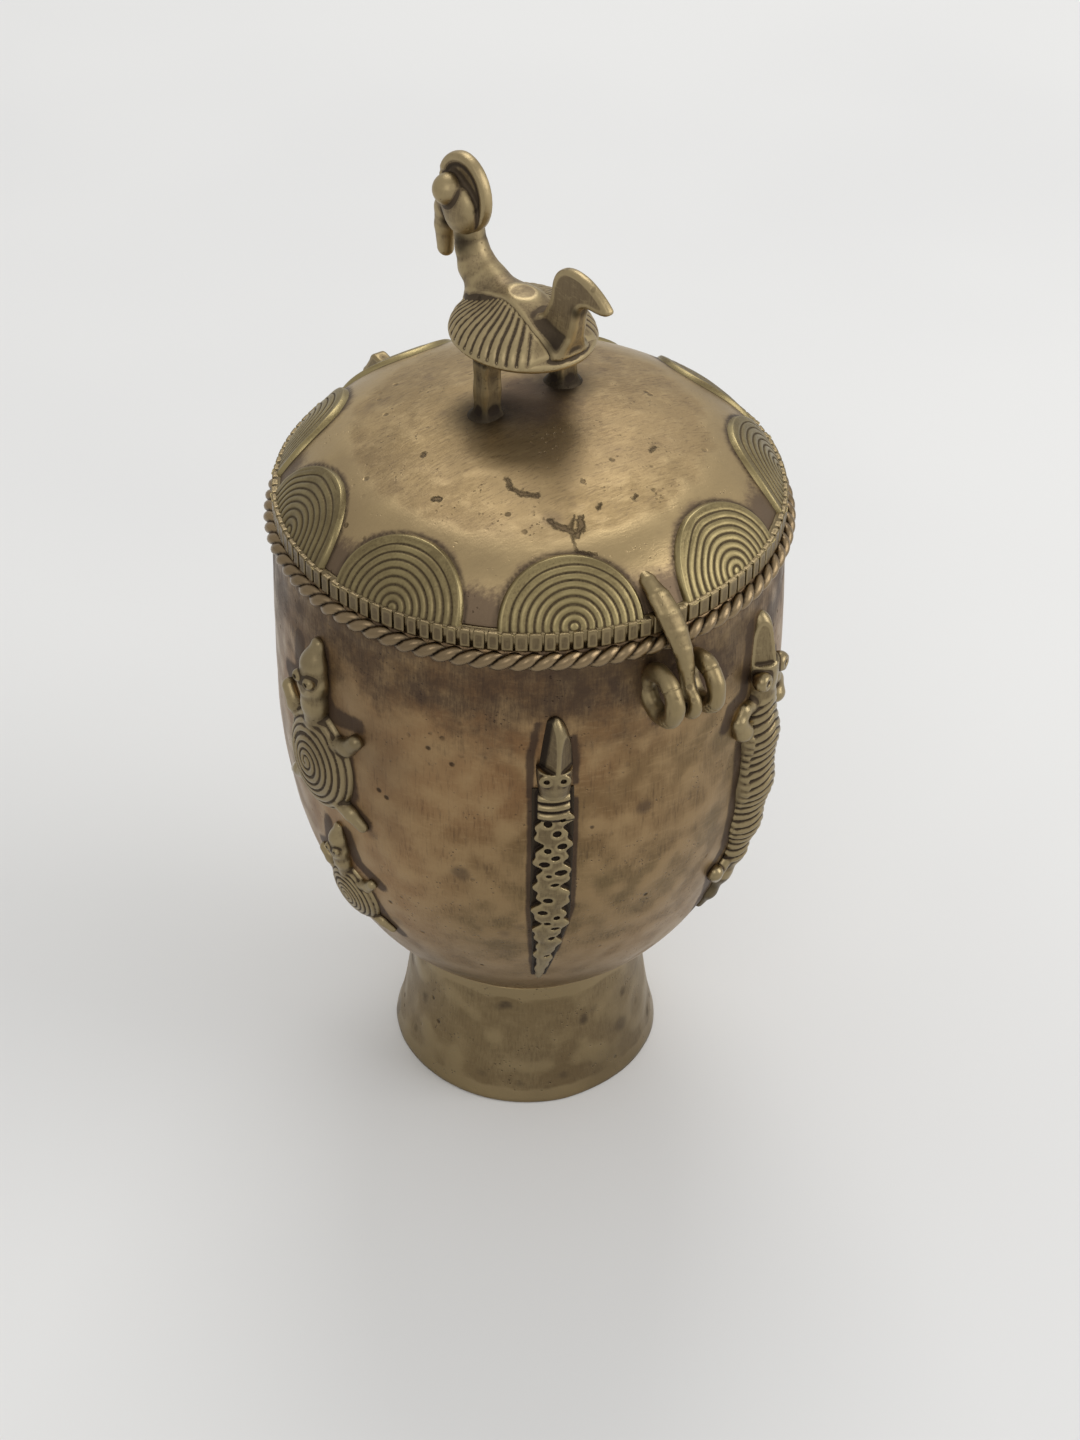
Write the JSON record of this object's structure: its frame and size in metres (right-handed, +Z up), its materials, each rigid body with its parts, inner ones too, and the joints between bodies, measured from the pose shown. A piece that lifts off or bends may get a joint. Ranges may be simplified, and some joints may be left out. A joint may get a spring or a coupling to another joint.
{
  "type": "akan kuduo vessel",
  "caption": "Footed cast brass vessel with a hinged domed lid, a bird finial, a rope rim, a hasp and relief animals on its wall.",
  "frame": {"origin": "centre of the foot's resting face", "axes": "+Z up, -Y towards the hasp, +Y towards the hinge"},
  "size_m": [0.1594, 0.183, 0.2936],
  "materials": {
    "bowl_brass": "aged cast brass, brown patina with coppery rub and pits",
    "foot_brass": "aged cast brass, olive brown, matt",
    "lid_brass": "aged cast brass, brushed golden olive with dark stains",
    "disc_brass": "yellow brass with dark patina in the grooves",
    "bird_brass": "rubbed cast brass with dark hollows",
    "rope_brass": "dark patinated cast brass, rubbed on the crests",
    "fitting_brass": "rubbed cast brass",
    "relief_brass": "rubbed cast brass over dark ground"
  },
  "bodies": {
    "vessel": {"bowl": "bowl_brass", "foot": "foot_brass", "hasp_ring_left": "fitting_brass", "hasp_ring_right": "fitting_brass", "hinge_pin": "fitting_brass", "hinge_ring_left": "fitting_brass", "hinge_ring_right": "fitting_brass", "lizard_back": "relief_brass", "lizard_front": "relief_brass", "rim_rope": "rope_brass", "small_tortoise_left": "relief_brass", "small_tortoise_right": "relief_brass", "snake_back": "relief_brass", "snake_front": "relief_brass", "tortoise_left": "relief_brass", "tortoise_right": "relief_brass"},
    "lid": {"bird_beak": "bird_brass", "bird_body": "bird_brass", "bird_crest": "bird_brass", "bird_eye_left": "bird_brass", "bird_eye_right": "bird_brass", "bird_head": "bird_brass", "bird_leg_left": "bird_brass", "bird_leg_right": "bird_brass", "bird_neck": "bird_brass", "bird_tail_blade": "bird_brass", "bird_tail_post": "bird_brass", "bird_wing_left": "bird_brass", "bird_wing_right": "bird_brass", "hasp_eye": "fitting_brass", "hasp_strap": "fitting_brass", "hinge_leaf": "fitting_brass", "lid_band": "lid_brass", "lid_disc_1": "disc_brass", "lid_disc_2": "disc_brass", "lid_disc_3": "disc_brass", "lid_disc_4": "disc_brass", "lid_disc_5": "disc_brass", "lid_disc_6": "disc_brass", "lid_disc_7": "disc_brass", "lid_disc_8": "disc_brass", "lid_disc_9": "disc_brass", "lid_dome": "lid_brass"}
  },
  "joints": [
    {"name": "lid_hinge", "type": "hinge", "parent": "vessel", "child": "lid", "pos_m": [0, 0.0834, 0.1844], "axis": [-1, 0, 0], "range_deg": [0, 110]}
  ]
}
